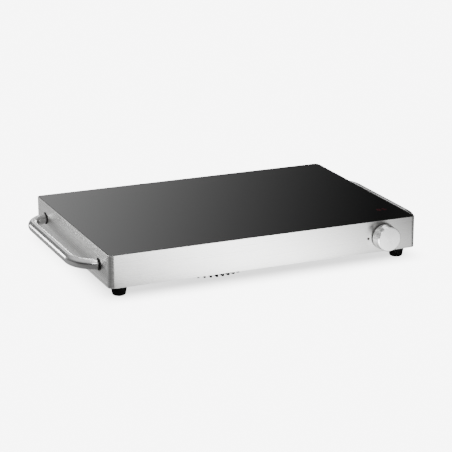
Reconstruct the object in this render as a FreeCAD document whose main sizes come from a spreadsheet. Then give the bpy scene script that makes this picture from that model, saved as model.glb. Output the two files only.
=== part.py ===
import FreeCAD, Part
import math
import os
import re

import Sketcher
from FreeCAD import Rotation, Vector

# An electric food warmer tray: a shallow box of brushed steel with a flush black glass top,
# a bow handle on each short side, four rubber feet, one control knob and a pilot lamp.
# X runs along the long side, Y from the knob side to the rear and Z up from the surface the
# feet stand on. The origin is under the middle of the box.

SIZES = {
    # Wall of the box
    "body_width": 500,
    "body_depth": 340,
    "body_height": 49,
    "wall": 1,
    "corner_radius": 8,
    # Angle frames welded inside the wall, which carry the glass and the bottom plate
    "frame_sheet": 1.2,
    "frame_leg": 9,
    "frame_flange": 14,
    "frame_corner": 3,
    # Glass top and its silicone seal
    "glass_thickness": 4,
    "glass_gap": 0.8,
    "glass_bevel": 0.4,
    "seal_pad": 1,
    "seal_width": 12,
    "seal_drop": 0.4,
    # Bottom plate and its screws
    "plate_sheet": 1,
    "plate_gap": 0.5,
    "plate_screw_inset": 8,
    "plate_screw_spacing": 180,
    # Feet
    "foot_height": 17,
    "foot_top_radius": 13,
    "foot_tip_radius": 10,
    "foot_edge": 1.2,
    "foot_inset_x": 22,
    "foot_inset_y": 21.4,
    "foot_recess_radius": 5.5,
    "foot_recess_depth": 9,
    # Round vent under the front left
    "vent_offset": 70.6,
    "vent_from_front": 96,
    "vent_opening": 62,
    "grille_radius": 86,
    "grille_flange": 2,
    "grille_depth": 10,
    "grille_disc": 52,
    "fin_start": 48,
    "fin_end": 80.5,
    "fin_thickness": 3,
    "fin_count": 8,
    "fin_pitch": 6.82,
    "vent_screw_circle": 74,
    # Bow handles
    "handle_height": 24.5,
    "handle_span": 249.4,
    "handle_reach": 31.2,
    "handle_bend": 43.8,
    "handle_radius": 8,
    "handle_tube_wall": 1.5,
    "handle_plug_length": 9,
    "handle_tap_depth": 6,
    "handle_washer_radius": 9.5,
    "handle_washer_thickness": 1,
    "backing_washer_radius": 7,
    "backing_washer_thickness": 1.2,
    # Control knob, its collar and its shaft
    "knob_inset": 56,
    "knob_height": 24,
    "knob_radius": 20,
    "knob_face_radius": 19,
    "knob_length": 17,
    "knob_gap": 2.5,
    "knob_wall": 2.5,
    "knob_recess": 6,
    "knob_rim": 1.2,
    "knob_hub_radius": 7,
    "knob_mark_length": 6,
    "knob_mark_width": 1,
    "knob_mark_depth": 0.4,
    "collar_radius": 20,
    "collar_thickness": 1.4,
    "shaft_radius": 3,
    "shaft_flat": 0.6,
    "shaft_grip": 10,
    "shaft_tail": 12,
    # Regulator behind the panel
    "regulator_side": 32,
    "regulator_depth": 26,
    "regulator_boss": 8,
    "blade_width": 6,
    "blade_thickness": 0.8,
    "blade_length": 8,
    "blade_pitch_across": 16,
    "blade_pitch_up": 14,
    "bush_radius": 5,
    "bush_length": 6,
    "bush_nut_flats": 14,
    "bush_nut_height": 2.5,
    # Pilot lamp beside the knob
    "lamp_offset": 26.3,
    "lamp_height": 22.9,
    "lamp_radius": 2.1,
    "lamp_dome": 0.8,
    "lamp_edge": 0.5,
    "lamp_flange_radius": 3.4,
    "lamp_flange": 1,
    "lamp_body_radius": 4,
    "lamp_body_length": 16,
    # Heater pack under the glass
    "control_bay": 53,
    "spreader_side_gap": 13,
    "spreader_rear_gap": 3,
    "spreader_sheet": 3,
    "element_radius": 3.25,
    "element_runs": 4,
    "element_edge": 27,
    "element_end_gap": 6,
    "element_tail": 10,
    "bar_width": 12,
    "bar_sheet": 1.2,
    "bar_overhang": 12,
    "bar_spacing": 130,
    "tray_inset": 2,
    "tray_sheet": 0.8,
    "tray_height": 22,
    "insulation_gap": 0.4,
    "insulation_thickness": 10,
    "pillar_flats": 9,
    "pillar_inset": 30,
    # Sensor and safety cut-out on the spreader
    "cutout_radius": 8,
    "cutout_height": 6,
    "cutout_blade_pitch": 8,
    "cutout_blade_length": 3,
    "sensor_length": 14,
    "sensor_width": 8,
    "sensor_height": 4,
    # Control board in the front bay
    "board_offset": 104,
    "board_from_front": 34,
    "board_width": 100,
    "board_depth": 34,
    "board_sheet": 1.6,
    "board_corner": 1,
    "board_hole_inset": 4,
    "spacer_height": 8,
    "relay_length": 28,
    "relay_width": 12,
    "relay_height": 15,
    "relay_inset": 14,
    "transformer_length": 32,
    "transformer_width": 26,
    "transformer_height": 20,
    "transformer_inset": 9.6,
    # Digit display under the glass
    "display_inset": 32,
    "display_from_front": 53,
    "display_width": 20,
    "display_depth": 12,
    "display_height": 6,
    "display_corner": 0.5,
    "display_gap": 0.3,
    "display_board_width": 30,
    "display_board_depth": 24,
    "display_post_inset": 3,
    "display_post_radius": 2.5,
    # Mains inlet at the rear
    "gland_inset": 100,
    "gland_height": 22.5,
    "gland_thread": 8,
    "gland_bore": 4,
    "gland_flats": 20,
    "gland_hex": 8,
    "gland_reach": 19.5,
    "gland_tip_radius": 6.5,
    "gland_nut_step": 1,
    "gland_chamfer": 0.5,
    "gland_taper": 4,
    "gland_inside": 8,
    "locknut_flats": 19,
    "locknut_height": 4,
    "terminal_offset": 45,
    "terminal_from_rear": 28,
    "terminal_length": 42,
    "terminal_width": 16,
    "terminal_height": 14,
    "terminal_poles": 3,
    "earth_offset": 40,
    "earth_from_rear": 30,
    "earth_length": 14,
    # Fasteners
    "bolt_radius": 2.5,
    "bolt_head_radius": 4.5,
    "bolt_head_height": 3,
    "bolt_nut_flats": 8,
    "bolt_nut_height": 4,
    "bolt_tail": 2.5,
    "screw_radius": 1.5,
    "screw_head_radius": 3,
    "screw_head_height": 2,
    "screw_tail": 4,
    "pillar_screw_grip": 6,
    "tap_runout": 1,
    "blind_floor": 0.5,
    # Clearances
    "hole_gap": 0.3,
    "running_gap": 0.05,
    "thread_gap": 0.05,
    "seat_gap": 0.1,
}

doc = FreeCAD.newDocument("food_warmer_tray")
sheet = doc.addObject("Spreadsheet::Sheet", "Sizes")
for row, (alias, number) in enumerate(SIZES.items(), 1):
    sheet.set(f"A{row}", alias)
    sheet.set(f"B{row}", str(number))
    sheet.setAlias(f"B{row}", alias)
doc.recompute()

# Turns that lay a piece's own Z axis along the outward normal of the front or the rear wall
TO_FRONT = Rotation(Vector(1, 0, 0), 90)
TO_REAR = Rotation(Vector(1, 0, 0), -90)

# Levels, measured up from the underside of the box
GLASS_BOTTOM = "(body_height - glass_thickness)"
SPREADER_BOTTOM = "(body_height - glass_thickness - spreader_sheet)"
ELEMENT_LEVEL = f"({SPREADER_BOTTOM} - element_radius - seat_gap)"
BAR_BOTTOM = f"({ELEMENT_LEVEL} - element_radius - seat_gap - bar_sheet)"
TRAY_BOTTOM = f"({SPREADER_BOTTOM} - tray_height)"

# How near an edge lies to a level to count as on it
TOUCH = 0.001


def link(text):
    """Give each plain size name in an expression its place in the sheet."""
    return re.sub("[a-z_]+", lambda word: "Sizes." + word[0] if word[0] in SIZES else word[0], text)


def value(text):
    """The number that an expression has now."""
    result = sheet.evalExpression(link(text))
    return float(getattr(result, "Value", result))


def part(label, x="0", y="0", z="foot_height", turn=Rotation()):
    """A new sub-part, with its own origin placed by expressions."""
    body = doc.addObject("PartDesign::Body", label)
    body.Label = label
    body.Placement = FreeCAD.Placement(Vector(value(x), value(y), value(z)), turn)
    for axis, text in zip("xyz", (x, y, z)):
        body.setExpression("Placement.Base." + axis, link(text))
    return body


def datum(body, role):
    """One of the body's own origin planes or axes."""
    return next(feature for feature in body.Origin.OriginFeatures if feature.Role == role)


def sketch_on(body, name, plane="XY_Plane", offset="0"):
    """A sketch on an origin plane of the body, moved along that plane's normal."""
    sketch = body.newObject("Sketcher::SketchObject", name)
    sketch.AttachmentSupport = [(datum(body, plane), "")]
    sketch.MapMode = "FlatFace"
    sketch.setExpression("AttachmentOffset.Base.z", link(offset))
    return sketch


def tie(sketch, kind, text, *points):
    """A driving dimension in a sketch, bound to an expression."""
    number = sketch.addConstraint(Sketcher.Constraint(kind, *points, value(text)))
    name = f"{kind}{number}"
    sketch.renameConstraint(number, name)
    sketch.setExpression("Constraints." + name, link(text))


def tie_point(sketch, edge, end, x, y):
    tie(sketch, "DistanceX", x, -1, 1, edge, end)
    tie(sketch, "DistanceY", y, -1, 1, edge, end)


def polygon(sketch, corners):
    """A closed outline of straight lines, with each corner bound."""
    points = [Vector(value(x), value(y), 0) for x, y in corners]
    first = sketch.GeometryCount
    for index, point in enumerate(points):
        sketch.addGeometry(Part.LineSegment(point, points[(index + 1) % len(points)]), False)
    for index, (x, y) in enumerate(corners):
        following = first + (index + 1) % len(corners)
        sketch.addConstraint(Sketcher.Constraint("Coincident", first + index, 2, following, 1))
        tie_point(sketch, first + index, 1, x, y)


def rectangle(sketch, left, right, low, high):
    polygon(sketch, [(left, low), (right, low), (right, high), (left, high)])


def hexagon(sketch, flats):
    """A hexagon about the sketch's origin, by its width across flats."""
    polygon(sketch, [(f"{flats}/sqrt(3)*cos({turn})", f"{flats}/sqrt(3)*sin({turn})")
                     for turn in range(0, 360, 60)])


def circle(sketch, radius, x="0", y="0"):
    centre = Vector(value(x), value(y), 0)
    edge = sketch.addGeometry(Part.Circle(centre, Vector(0, 0, 1), value(radius)), False)
    tie(sketch, "Radius", radius, edge)
    tie_point(sketch, edge, 3, x, y)


def rounded(sketch, half_x, half_y, radius):
    """A rectangle about the sketch's origin, with rounded corners."""
    x, y, r = value(half_x), value(half_y), value(radius)
    centres = [(x - r, y - r), (r - x, y - r), (r - x, r - y), (x - r, r - y)]
    quarter = math.pi/2
    arcs = []
    for index, (cx, cy) in enumerate(centres):
        ring = Part.Circle(Vector(cx, cy, 0), Vector(0, 0, 1), r)
        arc = Part.ArcOfCircle(ring, index * quarter, (index + 1) * quarter)
        arcs.append(sketch.addGeometry(arc, False))
    lines = []
    for index, arc in enumerate(arcs):
        start = sketch.Geometry[arc].EndPoint
        end = sketch.Geometry[arcs[(index + 1) % 4]].StartPoint
        lines.append(sketch.addGeometry(Part.LineSegment(start, end), False))
    for index, line in enumerate(lines):
        sketch.addConstraint(Sketcher.Constraint("Tangent", arcs[index], 2, line, 1))
        sketch.addConstraint(Sketcher.Constraint("Tangent", line, 2, arcs[(index + 1) % 4], 1))
        sketch.addConstraint(Sketcher.Constraint("Vertical" if index % 2 else "Horizontal", line))
    for arc in arcs[1:]:
        sketch.addConstraint(Sketcher.Constraint("Equal", arcs[0], arc))
    tie(sketch, "Radius", radius, arcs[0])
    tie(sketch, "DistanceY", half_y, -1, 1, lines[0], 1)
    tie(sketch, "DistanceX", f"-({half_x})", -1, 1, lines[1], 1)
    tie(sketch, "DistanceY", f"-({half_y})", -1, 1, lines[2], 1)
    tie(sketch, "DistanceX", half_x, -1, 1, lines[3], 1)


def shape_feature(body, kind, sketch, length, flip):
    feature = body.newObject("PartDesign::" + kind, sketch.Name + "_" + kind.lower())
    feature.Profile = sketch
    feature.setExpression("Length", link(length))
    feature.Reversed = flip
    body.Tip = feature
    return feature


def pad(body, sketch, length, flip=False):
    """Grow a sketch along its normal, or the other way when flipped."""
    return shape_feature(body, "Pad", sketch, length, flip)


def pocket(body, sketch, length, flip=False):
    """Cut a sketch against its normal, or along it when flipped."""
    return shape_feature(body, "Pocket", sketch, length, flip)


def turned(body, corners, name="profile", plane="XZ_Plane", offset="0", axis="V_Axis"):
    """A solid of revolution from a closed outline."""
    sketch = sketch_on(body, name, plane, offset)
    polygon(sketch, corners)
    feature = body.newObject("PartDesign::Revolution", name + "_turned")
    feature.Profile = sketch
    feature.ReferenceAxis = (sketch, [axis])
    feature.Angle = 360
    body.Tip = feature
    return feature


def edges(feature, test):
    doc.recompute()
    return [f"Edge{number}" for number, edge in enumerate(feature.Shape.Edges, 1) if test(edge)]


def chamfer(body, feature, test, size):
    """Break the edges that pass the test."""
    broken = body.newObject("PartDesign::Chamfer", body.Label + "_chamfer")
    broken.Base = (feature, edges(feature, test))
    broken.setExpression("Size", link(size))
    body.Tip = broken


def grid(body, feature, span_x, span_y, columns=2, rows=2):
    """Copies of a feature in rows along X and Y, as separate solids."""
    pattern = body.newObject("PartDesign::MultiTransform", feature.Name + "_grid")
    pattern.Originals = [feature]
    steps = []
    for role, span, count in (("X_Axis", span_x, columns), ("Y_Axis", span_y, rows)):
        if count == 1:
            continue
        step = body.newObject("PartDesign::LinearPattern", feature.Name + "_row")
        step.Direction = (datum(body, role), [""])
        step.setExpression("Length", link(span))
        step.Occurrences = count
        steps.append(step)
    pattern.Transformations = steps
    body.Tip = pattern
    return pattern


def mirrored(body, features, planes):
    """Copies of features on the other side of each plane."""
    pattern = body.newObject("PartDesign::MultiTransform", body.Label + "_mirrored")
    pattern.Originals = features
    steps = []
    for role in planes:
        step = body.newObject("PartDesign::Mirrored", body.Label + "_mirror")
        step.MirrorPlane = (datum(body, role), [""])
        steps.append(step)
    pattern.Transformations = steps
    body.Tip = pattern
    return pattern


def four_corners(x, y):
    """The four places at plus and minus x and y."""
    return [(f"{sx}*({x})", f"{sy}*({y})") for sx in (-1, 1) for sy in (-1, 1)]


def flat_ring(body, thickness, inner_x, inner_y, inner_radius, flip=False, offset="0"):
    """Cut a rounded rectangle out of a plate."""
    opening = sketch_on(body, "opening", offset=offset)
    rounded(opening, inner_x, inner_y, inner_radius)
    return pocket(body, opening, thickness, flip)


INSIDE_X = "body_width/2 - wall"
INSIDE_Y = "body_depth/2 - wall"
KNOB_X = "(body_width/2 - knob_inset)"
LAMP_X = f"({KNOB_X} - lamp_offset)"
GLAND_X = "(body_width/2 - gland_inset)"
VENT_X = "-vent_offset"
VENT_Y = "(vent_from_front - body_depth/2)"
BOARD_X = f"({KNOB_X} - board_offset)"
BOARD_Y = "(board_from_front - body_depth/2)"
DISPLAY_X = "(body_width/2 - display_inset)"
DISPLAY_Y = "(display_from_front - body_depth/2)"
HEATER_Y = "((control_bay - spreader_rear_gap)/2)"
SPREADER_X = f"({INSIDE_X} - frame_flange - spreader_side_gap)"
SPREADER_Y = f"({INSIDE_Y} - frame_flange - (control_bay + spreader_rear_gap)/2)"
TRAY_X = f"({SPREADER_X} - tray_inset)"
TRAY_Y = f"({SPREADER_Y} - tray_inset)"
ELEMENT_PITCH = f"(2*({SPREADER_Y} - element_edge)/(element_runs - 1))"
ELEMENT_RUN = f"({TRAY_X} - tray_sheet - {ELEMENT_PITCH}/2 - element_radius - element_end_gap)"
ELEMENT_END = f"({TRAY_X} + element_tail)"
BAR_SCREW_Y = f"({SPREADER_Y} - element_edge + bar_overhang)"
FOOT_X = "body_width/2 - foot_inset_x"
FOOT_Y = "body_depth/2 - foot_inset_y"
PLATE_SCREW_X = f"{INSIDE_X} - plate_screw_inset"
PLATE_SCREW_Y = f"{INSIDE_Y} - plate_screw_inset"
PILLAR_X = f"{TRAY_X} - pillar_inset"
PILLAR_Y = f"{TRAY_Y} - pillar_inset"
BOARD_HOLE_X = "board_width/2 - board_hole_inset"
BOARD_HOLE_Y = "board_depth/2 - board_hole_inset"
DISPLAY_POST_X = "display_board_width/2 - display_post_inset"
DISPLAY_POST_Y = "display_board_depth/2 - display_post_inset"
PLATE_SCREWS = [(f"{column}*plate_screw_spacing", f"{side}*({PLATE_SCREW_Y})")
                for column in (-1, 0, 1) for side in (-1, 1)]
PLATE_SCREWS += [(f"{side}*({PLATE_SCREW_X})", "0") for side in (-1, 1)]


# Housing: one strip of brushed stainless sheet bent round four corners and welded to a ring
def make_housing():
    body = part("housing")
    outline = sketch_on(body, "outline")
    rounded(outline, "body_width/2", "body_depth/2", "corner_radius")
    pad(body, outline, "body_height")
    flat_ring(body, "body_height", INSIDE_X, INSIDE_Y, "corner_radius - wall", flip=True)
    front = sketch_on(body, "front_holes", "XZ_Plane", "body_depth/2")
    circle(front, "bush_radius + hole_gap", KNOB_X, "knob_height")
    circle(front, "lamp_radius + seat_gap", LAMP_X, "lamp_height")
    pocket(body, front, "2*wall")
    rear = sketch_on(body, "rear_hole", "XZ_Plane", "-body_depth/2")
    circle(rear, "gland_thread + hole_gap", GLAND_X, "gland_height")
    pocket(body, rear, "2*wall", flip=True)
    for offset, flip in (("body_width/2", False), ("-body_width/2", True)):
        side = sketch_on(body, "handle_holes", "YZ_Plane", offset)
        for end in ("-handle_span/2", "handle_span/2"):
            circle(side, "bolt_radius + hole_gap", end, "handle_height")
        pocket(body, side, "2*wall", flip)


# Angle frames: bent steel rings spot-welded inside the wall, one under the glass and one at
# the foot of the wall, whose flange takes the screws of the bottom plate
def make_frames():
    glass = part("glass_frame", z=f"foot_height + {GLASS_BOTTOM} - seal_pad - frame_leg")
    base = part("base_frame", z="foot_height + plate_sheet")
    for body, hollow_from in ((glass, "0"), (base, "frame_sheet")):
        outline = sketch_on(body, "outline")
        rounded(outline, INSIDE_X, INSIDE_Y, "corner_radius - wall")
        pad(body, outline, "frame_leg")
        flat_ring(body, "frame_leg - frame_sheet", f"{INSIDE_X} - frame_sheet",
                  f"{INSIDE_Y} - frame_sheet", "corner_radius - wall - frame_sheet",
                  flip=True, offset=hollow_from)
        flat_ring(body, "frame_leg", f"{INSIDE_X} - frame_flange",
                  f"{INSIDE_Y} - frame_flange", "frame_corner", flip=True)
    taps = sketch_on(base, "screw_holes")
    for x, y in PLATE_SCREWS:
        circle(taps, "screw_radius + thread_gap", x, y)
    pocket(base, taps, "frame_sheet", flip=True)


# Glass top: black glass-ceramic, flush with the wall, bedded on a silicone seal that also
# fills the thin joint round its edge
def make_glass():
    seal = part("glass_seal", z=f"foot_height + {GLASS_BOTTOM} - seal_pad")
    outline = sketch_on(seal, "outline")
    rounded(outline, INSIDE_X, INSIDE_Y, "corner_radius - wall")
    pad(seal, outline, "seal_pad + glass_thickness - seal_drop")
    flat_ring(seal, "glass_thickness", f"{INSIDE_X} - glass_gap", f"{INSIDE_Y} - glass_gap",
              "corner_radius - wall - glass_gap", flip=True, offset="seal_pad")
    flat_ring(seal, "glass_thickness", f"{INSIDE_X} - seal_width", f"{INSIDE_Y} - seal_width",
              "frame_corner", flip=True)
    glass = part("glass_plate", z=f"foot_height + {GLASS_BOTTOM}")
    outline = sketch_on(glass, "outline")
    rounded(outline, f"{INSIDE_X} - glass_gap", f"{INSIDE_Y} - glass_gap",
            "corner_radius - wall - glass_gap")
    block = pad(glass, outline, "glass_thickness")
    top = value("glass_thickness")
    chamfer(glass, block, lambda edge: edge.BoundBox.ZMin > top - TOUCH, "glass_bevel")


# Bottom plate: painted sheet set flush inside the wall, with the vent's round opening
def make_bottom_plate():
    body = part("bottom_plate")
    outline = sketch_on(body, "outline")
    rounded(outline, f"{INSIDE_X} - plate_gap", f"{INSIDE_Y} - plate_gap",
            "corner_radius - wall - plate_gap")
    pad(body, outline, "plate_sheet")
    holes = sketch_on(body, "holes")
    circle(holes, "vent_opening", VENT_X, VENT_Y)
    for x, y in four_corners(FOOT_X, FOOT_Y):
        circle(holes, "bolt_radius + hole_gap", x, y)
    for x, y in PLATE_SCREWS:
        circle(holes, "screw_radius + hole_gap", x, y)
    for x, y in four_corners("vent_screw_circle/sqrt(2)", "vent_screw_circle/sqrt(2)"):
        circle(holes, "screw_radius + thread_gap", f"{VENT_X} + {x}", f"{VENT_Y} + {y}")
    for x, y in four_corners(PILLAR_X, PILLAR_Y):
        circle(holes, "screw_radius + hole_gap", x, f"{HEATER_Y} + {y}")
    pocket(body, holes, "plate_sheet", flip=True)
    screws = part("plate_screws")
    screw_profile = screw_outline("screw_head_radius", "screw_head_height", "screw_radius",
                                  "plate_sheet + 2*frame_sheet")
    for x, y in PLATE_SCREWS:
        turned_at(screws, screw_profile, x, y)


def screw_outline(head_radius, head_height, radius, length):
    """Half the outline of a screw that stands head down, with its seat at level 0."""
    return [("0", f"-{head_height}"), (head_radius, f"-{head_height}"), (head_radius, "0"),
            (radius, "0"), (radius, length), ("0", length)]


def turned_at(body, corners, x, y):
    """A solid of revolution about an upright axis at x and y."""
    sketch = sketch_on(body, "profile", "XZ_Plane", f"-({y})")
    axis = sketch.addGeometry(Part.LineSegment(Vector(value(x), 0, 0), Vector(value(x), 1, 0)), True)
    tie_point(sketch, axis, 1, x, "0")
    tie_point(sketch, axis, 2, x, "1")
    polygon(sketch, [(f"{x} + {across}", up) for across, up in corners])
    feature = body.newObject("PartDesign::Revolution", "turned")
    feature.Profile = sketch
    feature.ReferenceAxis = (sketch, ["Axis0"])
    feature.Angle = 360
    body.Tip = feature
    return feature


# Feet: tapered rubber, each bolted through the bottom plate from inside its recess
def make_feet():
    outline = [("foot_recess_radius", "0"), ("foot_tip_radius - foot_edge", "0"),
               ("foot_tip_radius", "foot_edge"), ("foot_top_radius", "foot_height"),
               ("bolt_radius + hole_gap", "foot_height"),
               ("bolt_radius + hole_gap", "foot_recess_depth"),
               ("foot_recess_radius", "foot_recess_depth")]
    for label, (x, y) in zip(("foot_front_left", "foot_rear_left", "foot_front_right",
                              "foot_rear_right"), four_corners(FOOT_X, FOOT_Y)):
        turned(part(label, x, y, "0"), outline)
    bolts = part("foot_screws", f"-({FOOT_X})", f"-({FOOT_Y})", "foot_recess_depth")
    length = "foot_height - foot_recess_depth + plate_sheet + bolt_nut_height + bolt_tail"
    bolt = turned(bolts, screw_outline("bolt_head_radius", "bolt_head_height", "bolt_radius", length))
    grid(bolts, bolt, f"2*({FOOT_X})", f"2*({FOOT_Y})")
    nuts = part("foot_nuts", f"-({FOOT_X})", f"-({FOOT_Y})", "foot_height + plate_sheet")
    outline = sketch_on(nuts, "hexagon")
    hexagon(outline, "bolt_nut_flats")
    circle(outline, "bolt_radius + thread_gap")
    grid(nuts, pad(nuts, outline, "bolt_nut_height"), f"2*({FOOT_X})", f"2*({FOOT_Y})")


# Vent grille: one black moulding under the round opening. Its radial fins stand in four
# groups between the screws, joined by the flange above them and a drip disc in the middle
def make_vent():
    body = part("vent_grille", VENT_X, VENT_Y)
    flange = sketch_on(body, "flange")
    circle(flange, "grille_radius")
    circle(flange, "vent_opening")
    pad(body, flange, "grille_flange", flip=True)
    disc = sketch_on(body, "drip_disc", offset="-grille_depth")
    circle(disc, "grille_disc")
    fin = sketch_on(body, "fin")
    fin.setExpression("AttachmentOffset.Rotation.Angle", link("-(fin_count - 1)*fin_pitch/2"))
    rectangle(fin, "fin_start", "fin_end", "-fin_thickness/2", "fin_thickness/2")
    blade = pad(body, fin, "grille_depth", flip=True)
    fan = body.newObject("PartDesign::MultiTransform", "fan")
    fan.Originals = [blade]
    group = body.newObject("PartDesign::PolarPattern", "group")
    group.Axis = (datum(body, "Z_Axis"), [""])
    group.setExpression("Angle", link("(fin_count - 1)*fin_pitch"))
    group.setExpression("Occurrences", link("fin_count"))
    quarters = body.newObject("PartDesign::PolarPattern", "quarters")
    quarters.Axis = (datum(body, "Z_Axis"), [""])
    quarters.Angle = 360
    quarters.Occurrences = 4
    fan.Transformations = [group, quarters]
    body.Tip = fan
    pad(body, disc, "grille_flange")
    holes = sketch_on(body, "screw_holes")
    for x, y in four_corners("vent_screw_circle/sqrt(2)", "vent_screw_circle/sqrt(2)"):
        circle(holes, "screw_radius + hole_gap", x, y)
    pocket(body, holes, "grille_flange")
    screws = part("vent_screws", f"{VENT_X} - vent_screw_circle/sqrt(2)",
                  f"{VENT_Y} - vent_screw_circle/sqrt(2)", "foot_height - grille_flange")
    screw = turned(screws, screw_outline("screw_head_radius", "screw_head_height", "screw_radius",
                                         "grille_flange + plate_sheet + screw_tail"))
    grid(screws, screw, "vent_screw_circle*sqrt(2)", "vent_screw_circle*sqrt(2)")


# Half the straight run of a handle's bow
BOW_HALF = "(handle_span/2 - sqrt(handle_bend^2 - (handle_bend - handle_reach)^2))"

# The angle that a bend is first drawn with, before its own dimensions set it
DRAWN_BEND = 1.45


def bow(body, radius, kind="AdditivePipe"):
    """A round section swept along a handle's bow, to just behind the wall."""
    spine = sketch_on(body, "bow")
    reach, bend, half = value("handle_reach"), value("handle_bend"), value(BOW_HALF)
    bar = spine.addGeometry(Part.LineSegment(Vector(reach, -half, 0), Vector(reach, half, 0)), False)
    tie_point(spine, bar, 1, "handle_reach", f"-{BOW_HALF}")
    tie_point(spine, bar, 2, "handle_reach", BOW_HALF)
    for end, side in ((2, 1), (1, -1)):
        ring = Part.Circle(Vector(reach - bend, side * half, 0), Vector(0, 0, 1), bend)
        span = (0, DRAWN_BEND) if side > 0 else (-DRAWN_BEND, 0)
        arc = spine.addGeometry(Part.ArcOfCircle(ring, *span), False)
        joint, tip = (1, 2) if side > 0 else (2, 1)
        spine.addConstraint(Sketcher.Constraint("Tangent", bar, end, arc, joint))
        tie(spine, "Radius", "handle_bend", arc)
        tie(spine, "DistanceX", "-handle_radius", -1, 1, arc, tip)
    section = sketch_on(body, "section", "XZ_Plane")
    circle(section, radius, "handle_reach", "0")
    sweep = body.newObject("PartDesign::" + kind, body.Label + "_sweep")
    sweep.Profile = section
    sweep.Spine = (spine, ["Edge1", "Edge2", "Edge3"])
    body.Tip = sweep


def trim_bow(body):
    """Cut a bow's ends off square where they stand on the washers."""
    side = sketch_on(body, "trim", "YZ_Plane", "handle_washer_thickness")
    reach = "handle_span/2 + 2*handle_radius"
    rectangle(side, f"-({reach})", reach, "-2*handle_radius", "2*handle_radius")
    pocket(body, side, "3*handle_radius")


# A plug's middle, the turn of the bend there, and how slim it has to be to enter the bend
PLUG_X = "(handle_washer_thickness + handle_plug_length/2)"
PLUG_TURN = f"acos(({PLUG_X} + handle_bend - handle_reach)/handle_bend)"
PLUG_RISE = "handle_plug_length^2/(2*(handle_bend + handle_radius))"
PLUG_RADIUS = f"(handle_radius - handle_tube_wall - thread_gap - {PLUG_RISE})"


def straight_plugs(body):
    """A round plug along the bow's tangent at each of its ends."""
    profile = sketch_on(body, "plug")
    corners = []
    for along, out in (("-handle_plug_length", "0"), ("handle_plug_length/2", "0"),
                       ("handle_plug_length/2", PLUG_RADIUS), ("-handle_plug_length", PLUG_RADIUS)):
        corners.append((f"{PLUG_X} + {along}*sin({PLUG_TURN}) + {out}*cos({PLUG_TURN})",
                        f"{BOW_HALF} + (handle_bend + {out})*sin({PLUG_TURN})"
                        f" - ({along})*cos({PLUG_TURN})"))
    polygon(profile, corners)
    axis = profile.addGeometry(Part.LineSegment(*(Vector(value(x), value(y), 0)
                                                  for x, y in corners[:2])), True)
    tie_point(profile, axis, 1, *corners[0])
    tie_point(profile, axis, 2, *corners[1])
    plug = body.newObject("PartDesign::Revolution", "plug_turned")
    plug.Profile = profile
    plug.ReferenceAxis = (profile, ["Axis0"])
    plug.Angle = 360
    body.Tip = plug
    mirrored(body, [plug], ["XZ_Plane"])


# Handles: satin steel tube bent to a shallow bow. Each end is closed by a straight, tapped
# plug welded inside it, stands on a black washer and is bolted from inside the wall
def make_handles():
    for label, side, turn in (("handle_left", -1, 180), ("handle_right", 1, 0)):
        at = (f"{side}*body_width/2", "0", "foot_height + handle_height",
              Rotation(Vector(0, 0, 1), turn))
        tube = part(label, *at)
        bow(tube, "handle_radius")
        bow(tube, "handle_radius - handle_tube_wall", "SubtractivePipe")
        trim_bow(tube)
        plugs = part(label + "_plugs", *at)
        straight_plugs(plugs)
        trim_bow(plugs)
        taps = sketch_on(plugs, "taps", "YZ_Plane", "handle_washer_thickness")
        for end in ("-handle_span/2", "handle_span/2"):
            circle(taps, "bolt_radius + thread_gap", end)
        pocket(plugs, taps, "handle_tap_depth", flip=True)
    outer = "body_width/2"
    inner = "body_width/2 - wall"
    backing = f"{inner} - backing_washer_thickness"
    bolt_end = f"{outer} + handle_washer_thickness + handle_tap_depth - tap_runout"
    hole = "bolt_radius + hole_gap"
    rings = {
        "handle_washers": [(outer, hole), (f"{outer} + handle_washer_thickness", hole),
                           (f"{outer} + handle_washer_thickness", "handle_washer_radius"),
                           (outer, "handle_washer_radius")],
        "backing_washers": [(backing, hole), (inner, hole), (inner, "backing_washer_radius"),
                            (backing, "backing_washer_radius")],
        "handle_bolts": [(f"{backing} - bolt_head_height", "0"),
                         (bolt_end, "0"), (bolt_end, "bolt_radius"),
                         (backing, "bolt_radius"), (backing, "bolt_head_radius"),
                         (f"{backing} - bolt_head_height", "bolt_head_radius")],
    }
    for label, corners in rings.items():
        body = part(label, z="foot_height + handle_height")
        ring = turned(body, corners, offset="handle_span/2", axis="H_Axis")
        mirrored(body, [ring], ("XZ_Plane", "YZ_Plane"))


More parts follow.
